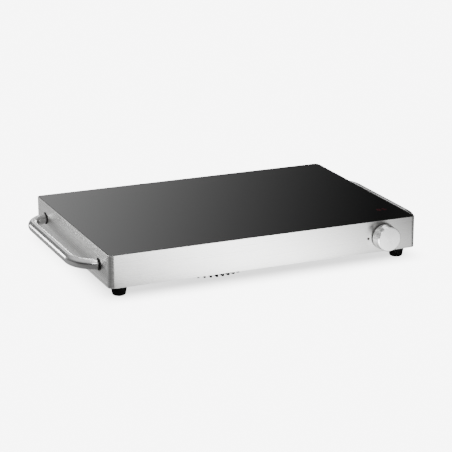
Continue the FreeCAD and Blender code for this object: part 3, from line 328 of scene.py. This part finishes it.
def build_handle(side, finish):
    """A smooth tube swept along the bow, on the left (-1) or the right (1)."""
    low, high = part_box("handle_left" if side < 0 else "handle_right")
    level = (low.z + high.z) / 2
    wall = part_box("housing")[1].x
    span = 2 * (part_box("handle_bolts")[1].y - BOLT_HEAD_RADIUS)
    mesh = bmesh.new()
    lengths = mesh.loops.layers.uv.new("UVMap")
    rings = []
    run = 0.0
    spine = handle_spine(span)
    last = len(spine) - 1
    for index, (out, along, turn) in enumerate(spine):
        if index:
            run += math.dist(spine[index - 1][:2], (out, along))
        centre = Vector((out, along, 0))
        outward = Vector((math.cos(turn), math.sin(turn), 0))
        tangent = Vector((-math.sin(turn), math.cos(turn), 0))
        ring = []
        for step in range(HANDLE_ROUND):
            angle = step * 2 * math.pi / HANDLE_ROUND
            point = centre + HANDLE_RADIUS * (math.cos(angle) * outward
                                              + math.sin(angle) * Vector((0, 0, 1)))
            if index in (0, last):
                point += tangent * ((WASHER - point.x) / tangent.x)
            ring.append(point)
        rings.append((ring, run))
    made = []
    for ring, run in rings:
        made.append(([mesh.verts.new((side * (wall + p.x), p.y, level + p.z)) for p in ring], run))
    for (before, start), (after, end) in zip(made, made[1:]):
        for step in range(HANDLE_ROUND):
            following = (step + 1) % HANDLE_ROUND
            corners = [before[step], before[following], after[following], after[step]]
            face = mesh.faces.new(corners)
            around = 2 * math.pi * HANDLE_RADIUS / HANDLE_ROUND
            places = [(start, step * around), (start, (step + 1) * around),
                      (end, (step + 1) * around), (end, step * around)]
            for loop, place in zip(face.loops, places):
                loop[lengths].uv = place
            face.smooth = True
    for ring, run in (made[0], made[-1]):
        mesh.faces.new(ring)
    bmesh.ops.recalc_face_normals(mesh, faces=mesh.faces)
    name = "left_handle_tube" if side < 0 else "right_handle_tube"
    data = bpy.data.meshes.new(name)
    mesh.to_mesh(data)
    mesh.free()
    tube = bpy.data.objects.new(name, data)
    bpy.context.scene.collection.objects.link(tube)
    data.materials.append(finish)
    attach(tube, "tray")
    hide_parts("handle_left" if side < 0 else "handle_right")
    return tube


satin_tube = brushed_metal("satin_tube", (0.58, 0.58, 0.58), (0.76, 0.76, 0.76), 0.16, 0.26,
                           (60, 2600, 1), 0.25, along="UV")
for side in (-1, 1):
    build_handle(side, satin_tube)
plated = brushed_metal("plated_steel", (0.45, 0.46, 0.48), (0.66, 0.67, 0.68), 0.22, 0.38,
                       (900, 900, 900), 0.15)
dress(plated, "handle_left_plugs", "handle_right_plugs", "handle_bolts", "backing_washers",
      "foot_nuts", "bar_screws", "tray_pillars", "regulator_nut", "control_shaft",
      "knob_grub_screw", "temperature_sensor")


# Screws under the tray: zinc-plated pan heads with a pressed cross, which hold the bottom
# plate, the grille and the heater's pillars, and larger ones in the wells of the feet. The
# gathering reach is shorter than a foot screw's head, so each of those comes out three times.
SMALL_SCREW = {"head_radius": 0.003, "head_height": 0.002, "shank_radius": 0.0015}
FOOT_SCREW = {"head_radius": 0.0045, "head_height": 0.003, "shank_radius": 0.0025}
GATHERING_REACH = 0.007
SCREW_SIDES = 32
HEAD_DOME = ((0.62, 0.0), (0.78, 0.09), (0.90, 0.26), (0.97, 0.52), (1.0, 0.8), (1.0, 1.0))
CROSS_REACH = 0.50
CROSS_HALF = 0.11
CROSS_DEPTH = 0.55
CROSS_TAPER = 0.6
SHANK_CHAMFER = 0.0004


def screw_places(name):
    """The axis of each screw of a node and the levels of its head and tip, by near points."""
    groups = []
    for vertex in nodes[name].data.vertices:
        spot = vertex.co
        for group in groups:
            if max(abs(group[0].x - spot.x), abs(group[0].y - spot.y)) < GATHERING_REACH:
                group.append(spot)
                break
        else:
            groups.append([spot])
    places = []
    for group in groups:
        middle = [(min(v[k] for v in group) + max(v[k] for v in group)) / 2 for k in (0, 1)]
        levels = [v.z for v in group]
        places.append((Vector((*middle, 0)), min(levels), max(levels)))
    return places


def cross_outline(reach, half):
    corners = []
    for quarter in range(4):
        for across, along in ((half, half), (reach, half), (reach, -half)):
            turn = quarter * math.pi / 2
            corners.append((across * math.cos(turn) + along * math.sin(turn),
                            along * math.cos(turn) - across * math.sin(turn)))
    return corners


def ring_of(mesh, axis, radius, level):
    steps = [step * 2 * math.pi / SCREW_SIDES for step in range(SCREW_SIDES)]
    return [mesh.verts.new((axis.x + radius * math.cos(turn), axis.y + radius * math.sin(turn),
                            level)) for turn in steps]


def wall_between(mesh, first, second):
    for step in range(len(first)):
        following = (step + 1) % len(first)
        mesh.faces.new((first[step], first[following], second[following], second[step]))


def closed_loop(mesh, ring):
    return [mesh.edges.get((a, b)) or mesh.edges.new((a, b))
            for a, b in zip(ring, ring[1:] + ring[:1])]


def add_screw(mesh, place, head_radius, head_height, shank_radius):
    """One screw with its head downward: crown with a sunk cross, dome, shank and tip."""
    axis, head, tip = place
    rings = [ring_of(mesh, axis, head_radius * out, head + head_height * up)
             for out, up in HEAD_DOME]
    rings.append(ring_of(mesh, axis, shank_radius, head + head_height))
    rings.append(ring_of(mesh, axis, shank_radius, tip - SHANK_CHAMFER))
    rings.append(ring_of(mesh, axis, shank_radius - SHANK_CHAMFER, tip))
    for first, second in zip(rings, rings[1:]):
        wall_between(mesh, first, second)
    mesh.faces.new(rings[-1])
    sunk = []
    for scale, deep in ((1.0, 0.0), (CROSS_TAPER, CROSS_DEPTH * head_height)):
        outline = cross_outline(head_radius * CROSS_REACH * scale, head_radius * CROSS_HALF)
        sunk.append([mesh.verts.new((axis.x + x, axis.y + y, head + deep)) for x, y in outline])
    wall_between(mesh, *sunk)
    mesh.faces.new(sunk[1])
    bmesh.ops.triangle_fill(mesh, use_beauty=True, use_dissolve=False,
                            edges=closed_loop(mesh, rings[0]) + closed_loop(mesh, sunk[0]))


def finish_piece(name, mesh, finish, body, slot, *replaced):
    """Turn a worked mesh into a piece that rides on its body in place of CAD nodes."""
    smooth_below = math.radians(35)
    bmesh.ops.recalc_face_normals(mesh, faces=mesh.faces)
    data = bpy.data.meshes.new(name)
    mesh.to_mesh(data)
    mesh.free()
    data.shade_smooth()
    data.set_sharp_from_angle(angle=smooth_below)
    data.materials.append(finish)
    piece = bpy.data.objects.new(name, data)
    bpy.context.scene.collection.objects.link(piece)
    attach(piece, body)
    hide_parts(*replaced)
    return piece


for screw_node, form in (("plate_screws", SMALL_SCREW), ("vent_screws", SMALL_SCREW),
                         ("pillar_screws", SMALL_SCREW), ("foot_screws", FOOT_SCREW)):
    screws = bmesh.new()
    for place in screw_places(screw_node):
        add_screw(screws, place, **form)
    finish_piece("cross_" + screw_node, screws, plated, "tray", "plated_steel", screw_node)


# Cable gland: a moulded body with a hexagon against the rear wall, a ribbed cap over it and a
# soft sealing ring round the mouth, all in black nylon and rubber. The outline goes once round
# the wall of the bore, as radius and distance from the rear wall in millimetres.
GLAND_SIDES = 72
GLAND_RIBS = 18
RIB_DEPTH = 0.0007
GLAND_PROFILE = ((4.0, -9.0), (7.6, -9.0), (8.0, -8.6), (8.0, 0.0), (9.0, 8.0), (9.0, 15.2),
                 (8.6, 16.6), (7.8, 18.2), (7.0, 19.2), (6.4, 19.5), (5.2, 19.5), (4.9, 19.1),
                 (4.4, 19.1), (4.0, 18.8))
BELOW_HEX = 3
RIBBED = (4, 5, 6)
HEX_FLATS = 0.020
HEX_LENGTH = 0.008
HEX_EDGE = 0.0006


def build_gland():
    low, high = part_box("cable_gland")
    axis_x = (low.x + high.x) / 2
    axis_z = (low.z + high.z) / 2
    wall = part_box("housing")[1].y
    mesh = bmesh.new()
    rings = []
    for index, (radius, out) in enumerate(GLAND_PROFILE):
        ring = []
        for step in range(GLAND_SIDES):
            turn = step * 2 * math.pi / GLAND_SIDES
            reach = radius * MILLIMETRE
            if index in RIBBED and step % (GLAND_SIDES // GLAND_RIBS) == 0:
                reach -= RIB_DEPTH
            ring.append(mesh.verts.new((axis_x + reach * math.cos(turn),
                                        wall + out * MILLIMETRE,
                                        axis_z + reach * math.sin(turn))))
        rings.append(ring)
    for index, (first, second) in enumerate(zip(rings, rings[1:] + rings[:1])):
        if index != BELOW_HEX:
            wall_between(mesh, first, second)
    corner = HEX_FLATS / math.sqrt(3)
    hexagons = []
    for out, shrink in ((0.0, 0.0), (HEX_LENGTH - HEX_EDGE, 0.0), (HEX_LENGTH, HEX_EDGE)):
        hexagons.append([mesh.verts.new((axis_x + (corner - shrink) * math.cos(side * math.pi / 3),
                                         wall + out,
                                         axis_z + (corner - shrink) * math.sin(side * math.pi / 3)))
                         for side in range(6)])
    for first, second in zip(hexagons, hexagons[1:]):
        wall_between(mesh, first, second)
    for inner, outer in ((rings[BELOW_HEX], hexagons[0]), (rings[BELOW_HEX + 1], hexagons[-1])):
        bmesh.ops.triangle_fill(mesh, use_beauty=True, use_dissolve=False,
                                edges=closed_loop(mesh, inner) + closed_loop(mesh, outer))
    finish_piece("ribbed_cable_gland", mesh, black_moulding, "tray", "black_plastic", "cable_gland")


build_gland()


# Knob: turned from aluminium bar and clear anodised, with fine rings from the lathe on its face,
# straight brushing round its side and a filled groove as its mark. Its side is painted far darker
# than its face, as painted shade.
KNOB_RIM = 0.0012
FACE_DARK = (0.80, 0.80, 0.80)
FACE_LIGHT = (0.94, 0.94, 0.94)
# The side's tones are painted shade: the same metal as the face, painted darker.
SIDE_PAINTED_SHADE_DARK = (0.26, 0.26, 0.26)
SIDE_PAINTED_SHADE_LIGHT = (0.62, 0.62, 0.62)


def turned_metal():
    finish, shader = new_finish("turned_metal", (0.86, 0.86, 0.86), 0.3, 1.0)
    tree = finish.node_tree
    low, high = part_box("control_knob")
    axis = (low + high) / 2
    place = node(tree, "ShaderNodeTexCoord").outputs["Object"]
    off = node(tree, "ShaderNodeVectorMath", {"operation": "SUBTRACT"}, _0=place,
               _1=(axis.x, 0, axis.z)).outputs[0]
    flat = node(tree, "ShaderNodeVectorMath", {"operation": "MULTIPLY"}, _0=off,
                _1=(1, 0, 1)).outputs[0]
    radius = node(tree, "ShaderNodeVectorMath", {"operation": "LENGTH"}, _0=flat).outputs["Value"]
    deep = node(tree, "ShaderNodeSeparateXYZ", Vector=place).outputs[1]
    rings = node(tree, "ShaderNodeCombineXYZ", X=radius, Y=deep).outputs[0]
    # Painted shade: where the knob's side begins, it takes the darker tones.
    on_shaded_side = node(tree, "ShaderNodeMath", {"operation": "GREATER_THAN"}, _0=deep,
                   _1=low.y + KNOB_RIM).outputs[0]
    face_and_shaded_side_tones = [node(tree, "ShaderNodeMix", {"data_type": "RGBA"}, _0=on_shaded_side, _6=(*face, 1),
                  _7=(*side, 1)).outputs[2]
             for face, side in ((FACE_DARK, SIDE_PAINTED_SHADE_DARK), (FACE_LIGHT, SIDE_PAINTED_SHADE_LIGHT))]
    got = use_effect(tree, brushing, Place=rings, Grain=(2200, 2200, 1), Depth=0.25,
                     Dark=face_and_shaded_side_tones[0], Light=face_and_shaded_side_tones[1], Smooth=0.22, Rough=0.36)
    wear(tree, shader, got)
    stretch_highlights(tree, shader, "Y", 0.4)
    return finish


dress(turned_metal(), "control_knob")


# Pilot lamp: a smoked lens, 4.2 mm across with a bevelled rim, pressed into the panel from
# behind. It stays dark, as in the photograph.
dress(moulded("smoked_lens", (0.02, 0.012, 0.012), 0.08, 0.15, 300, 0.02, 0.0), "pilot_lamp_lens")


# Heater pack: mill aluminium spreader, heat-tinted element sheath, zinc-coated sheet and a
# board of pressed mineral fibre.
dress(brushed_metal("mill_aluminium", (0.62, 0.62, 0.62), (0.80, 0.80, 0.80), 0.3, 0.45,
                    (30, 900, 900), 0.2), "heat_spreader")
dress(brushed_metal("tinted_sheath", (0.16, 0.13, 0.12), (0.34, 0.31, 0.30), 0.4, 0.6,
                    (400, 400, 400), 0.3), "heating_element")
dress(brushed_metal("zinc_sheet", (0.42, 0.43, 0.45), (0.62, 0.63, 0.65), 0.35, 0.55,
                    (70, 90, 80), 0.15),
      "glass_frame", "base_frame", "insulation_tray", "element_bars")
dress(moulded("mineral_board", (0.72, 0.68, 0.58), 0.85, 0.98, 500, 0.8), "insulation_board")


# Control parts: green boards, moulded cases, a red filter, ceramic blocks, nylon posts and
# brass earth parts.
dress(moulded("solder_mask", (0.02, 0.12, 0.05), 0.3, 0.45, 500, 0.1), "control_board",
      "display_board")
dress(moulded("display_filter", (0.08, 0.01, 0.012), 0.08, 0.15, 300, 0.02), "display_module")
dress(moulded("moulded_case", (0.05, 0.05, 0.06), 0.3, 0.45), "relay", "transformer",
      "power_regulator")
dress(moulded("plain_ceramic", (0.80, 0.78, 0.72), 0.6, 0.75, 900, 0.3), "terminal_block",
      "thermal_cutout")
dress(moulded("white_nylon", (0.78, 0.77, 0.72), 0.35, 0.5, 900, 0.15), "board_spacers",
      "display_posts")
dress(brushed_metal("turned_brass", (0.55, 0.40, 0.16), (0.80, 0.62, 0.30), 0.25, 0.4,
                    (900, 900, 900), 0.2), "earth_stud", "earth_nut")


# Room: a pale floor with a painted soft shadow under the tray, soft boxes overhead, by the camera
# and behind on both sides, and a tall card behind that the glass mirrors, bright at its left end and
# fading to the right.
def glowing(name):
    """A staged surface's material: its shader, its tree and the place across it."""
    finish, shader = new_finish(name, (0.8, 0.8, 0.8), 0.9)
    tree = finish.node_tree
    place = node(tree, "ShaderNodeTexCoord").outputs["Object"]
    split = node(tree, "ShaderNodeSeparateXYZ", Vector=place).outputs
    shader.inputs["Emission Strength"].default_value = 1.0
    return finish, shader, tree, split


def figure(tree, operation, *given, clamp=False):
    """The outcome of one sum on plain numbers or sockets."""
    made = tree.nodes.new("ShaderNodeMath")
    made.operation = operation
    made.use_clamp = clamp
    for socket, number in zip(made.inputs, given):
        if isinstance(number, bpy.types.NodeSocket):
            tree.links.new(number, socket)
        else:
            socket.default_value = number
    return made.outputs[0]


def eased(tree, given, first, last, low=0.0, high=1.0):
    """A number that eases from low to high while the given one goes from first to last."""
    return node(tree, "ShaderNodeMapRange", {"interpolation_type": "SMOOTHSTEP"}, Value=given,
                _1=first, _2=last, _3=low, _4=high).outputs[0]


def stage_sheet(name, corners, finish):
    mesh = bpy.data.meshes.new(name)
    mesh.from_pydata(corners, [], [(0, 1, 2, 3)])
    sheet = bpy.data.objects.new(name, mesh)
    bpy.context.scene.collection.objects.link(sheet)
    mesh.materials.append(finish)
    return sheet


FLOOR_REACH = 12
SHADE_SPREAD = 0.03
FLOOR_SHADE = (0.06, 0.06, 0.06)
FLOOR_TO_CAMERA = 7.5
# Painted shadow: how bright the floor is to the camera under the tray.
PAINTED_SHADOW_UNDER_TRAY = 1.8
FLOOR_REAR_GLOW = 0.34
FLOOR_FRONT_DARK = 0.12
FRONT_GLOW = 7.6
FRONT_GLOW_AT = 0.03
FRONT_GLOW_WIDTH = 0.17
FRONT_GLOW_TAIL = 0.75
LEFT_END_FADE = (-0.235, -0.205)
RIGHT_END_FADE = (0.34, 0.30)
FRONT_FADE = (-0.18, -0.22)
REAR_FADE = (-0.18, -0.04)


def floor_finish():
    """Pale to the camera, with a painted shadow under the tray, and clear from below. To the metal
    it glows as under a soft box.
    """
    finish, shader, tree, split = glowing("pale_floor")
    shader.inputs["Base Color"].default_value = (*FLOOR_SHADE, 1)
    off_middle = figure(tree, "SUBTRACT", split[0], FRONT_GLOW_AT)
    across = figure(tree, "DIVIDE", off_middle, FRONT_GLOW_WIDTH)
    squared = figure(tree, "MULTIPLY", across, across)
    bell = figure(tree, "POWER", math.e, figure(tree, "MULTIPLY", squared, -1.0))
    glow = figure(tree, "MULTIPLY_ADD", bell, FRONT_GLOW, FRONT_GLOW_TAIL)
    between_ends = figure(tree, "MULTIPLY", eased(tree, split[0], *LEFT_END_FADE),
                          eased(tree, split[0], *RIGHT_END_FADE))
    front = eased(tree, split[1], *FRONT_FADE)
    rear = eased(tree, split[1], *REAR_FADE, FLOOR_FRONT_DARK, FLOOR_REAR_GLOW)
    ahead = node(tree, "ShaderNodeMix", {"data_type": "FLOAT"}, Factor=between_ends,
                 _2=FLOOR_FRONT_DARK, _3=glow).outputs[0]
    to_metal = node(tree, "ShaderNodeMix", {"data_type": "FLOAT"}, Factor=front, _2=rear,
                    _3=ahead).outputs[0]
    seen = node(tree, "ShaderNodeLightPath").outputs["Is Camera Ray"]
    # A painted soft shadow under the tray. It fades out over SHADE_SPREAD round the housing's edges.
    painted_shadow_mask = None
    for axis, edge in ((0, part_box("housing")[1].x), (1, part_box("housing")[1].y)):
        away = figure(tree, "ABSOLUTE", split[axis])
        inside_painted_shadow = eased(tree, away, edge + SHADE_SPREAD, edge - SHADE_SPREAD)
        painted_shadow_mask = inside_painted_shadow if painted_shadow_mask is None else figure(tree, "MULTIPLY", painted_shadow_mask, inside_painted_shadow)
    to_camera = node(tree, "ShaderNodeMix", {"data_type": "FLOAT"}, Factor=painted_shadow_mask,
                     _2=FLOOR_TO_CAMERA, _3=PAINTED_SHADOW_UNDER_TRAY).outputs[0]
    bright = node(tree, "ShaderNodeMix", {"data_type": "FLOAT"}, Factor=seen, _2=to_metal,
                  _3=to_camera).outputs[0]
    colour = node(tree, "ShaderNodeCombineXYZ", X=bright, Y=bright, Z=bright).outputs[0]
    tree.links.new(colour, shader.inputs["Emission Color"])
    below = node(tree, "ShaderNodeNewGeometry").outputs["Backfacing"]
    clear = node(tree, "ShaderNodeBsdfTransparent").outputs[0]
    either = node(tree, "ShaderNodeMixShader", _0=below, _1=shader.outputs[0], _2=clear).outputs[0]
    tree.links.new(either, tree.nodes["Material Output"].inputs["Surface"])
    return finish


stage_sheet("floor", [(-FLOOR_REACH, -FLOOR_REACH, 0), (FLOOR_REACH, -FLOOR_REACH, 0),
                      (FLOOR_REACH, FLOOR_REACH, 0), (-FLOOR_REACH, FLOOR_REACH, 0)],
            floor_finish())

CARD_DISTANCE = 3.0
CARD_TURN = math.radians(-23.698)
CARD_HALF = 1.3
CARD_TOP = 1.7
CARD_BOTTOM = 0.35
CARD_MIDDLE_GLOW = 0.545
CARD_FADE = 0.721
CARD_LEAST_GLOW = 0.17


def card_finish():
    """Glow that falls with the square of the distance along the card."""
    finish, shader, tree, split = glowing("mirrored_card")
    shader.inputs["Base Color"].default_value = (0, 0, 0, 1)
    faded = figure(tree, "MULTIPLY_ADD", split[0], -CARD_FADE, CARD_MIDDLE_GLOW)
    root = figure(tree, "MAXIMUM", faded, CARD_LEAST_GLOW)
    bright = figure(tree, "MULTIPLY", root, root)
    colour = node(tree, "ShaderNodeCombineXYZ", X=bright, Y=bright, Z=bright).outputs[0]
    tree.links.new(colour, shader.inputs["Emission Color"])
    return finish


card = stage_sheet("mirrored_card", [(-CARD_HALF, 0, CARD_BOTTOM), (CARD_HALF, 0, CARD_BOTTOM),
                                     (CARD_HALF, 0, CARD_TOP), (-CARD_HALF, 0, CARD_TOP)],
                   card_finish())
card.location = (-math.sin(CARD_TURN) * CARD_DISTANCE, math.cos(CARD_TURN) * CARD_DISTANCE, 0)
card.rotation_euler = (0, 0, CARD_TURN)
card.visible_camera = False


def add_light(name, place, target, size, brightness):
    """A soft box of an even brightness, which no camera sees."""
    lamp = bpy.data.lights.new(name, "AREA")
    lamp.shape = "RECTANGLE"
    lamp.size, lamp.size_y = size
    lamp.energy = brightness * math.pi * size[0] * size[1]
    holder = bpy.data.objects.new(name, lamp)
    holder.location = place
    holder.rotation_mode = "QUATERNION"
    holder.rotation_quaternion = (Vector(target) - Vector(place)).to_track_quat("-Z", "Y")
    holder.visible_camera = False
    bpy.context.scene.collection.objects.link(holder)


add_light("overhead", place=(0.1, -0.3, 2.3), target=(0, 0, 0), size=(1.2, 1.2), brightness=5)
add_light("rear_top", place=(0.9, 2.0, 2.0), target=(0, 0, 0.05), size=(1.4, 0.5), brightness=8)
add_light("front_high", place=(-1.0, -1.95, 1.4), target=(0, 0, 0.05), size=(1.0, 0.7),
          brightness=5)
add_light("rear_left", place=(-1.34, 2.03, 0.33), target=(-0.26, 0, 0.05), size=(0.46, 0.55),
          brightness=12)

SKY_FRONT = 0.05
SKY_REAR = 0.22
SKY_TOP = 0.8
FRONT_TO_REAR = (-0.5, 0.5)
LEVEL_TO_TOP = (0.35, 0.85)

sky = bpy.data.worlds.new("studio")
sky.use_nodes = True
toward = node(sky.node_tree, "ShaderNodeTexCoord").outputs["Generated"]
heading = node(sky.node_tree, "ShaderNodeSeparateXYZ", Vector=toward).outputs
low_glow = eased(sky.node_tree, heading[1], *FRONT_TO_REAR, SKY_FRONT, SKY_REAR)
top_glow = eased(sky.node_tree, heading[2], *LEVEL_TO_TOP, 0.0, SKY_TOP)
sky_to_metal = figure(sky.node_tree, "ADD", low_glow, top_glow)
sky_seen = node(sky.node_tree, "ShaderNodeLightPath").outputs["Is Camera Ray"]
sky_glow = node(sky.node_tree, "ShaderNodeMix", {"data_type": "FLOAT"}, Factor=sky_seen,
                _2=sky_to_metal, _3=FLOOR_TO_CAMERA).outputs[0]
sky.node_tree.nodes["Background"].inputs["Color"].default_value = (1, 1, 1, 1)
sky.node_tree.links.new(sky_glow, sky.node_tree.nodes["Background"].inputs["Strength"])
bpy.context.scene.world = sky


# Camera: the photograph's own angle and lens, worked out from the edges of the box. It stands
# 2.7 m off, and its picture is about 15 degrees across.
CAMERA_PLACE = (-1.02265, -2.35922, 0.82911)
CAMERA_AZIMUTH = math.radians(-23.555)
CAMERA_ELEVATION = math.radians(17.205)
IMAGE_SIDE = 452
FOCAL_PIXELS = 1715

lens = bpy.data.cameras.new("camera")
lens.sensor_width = 36
lens.lens = FOCAL_PIXELS / IMAGE_SIDE * lens.sensor_width
camera = bpy.data.objects.new("camera", lens)
bpy.context.scene.collection.objects.link(camera)
camera.location = CAMERA_PLACE
back = Vector((math.sin(CAMERA_AZIMUTH) * math.cos(CAMERA_ELEVATION),
               -math.cos(CAMERA_AZIMUTH) * math.cos(CAMERA_ELEVATION),
               math.sin(CAMERA_ELEVATION)))
camera.rotation_mode = "QUATERNION"
camera.rotation_quaternion = (-back).to_track_quat("-Z", "Y")
bpy.context.scene.camera = camera
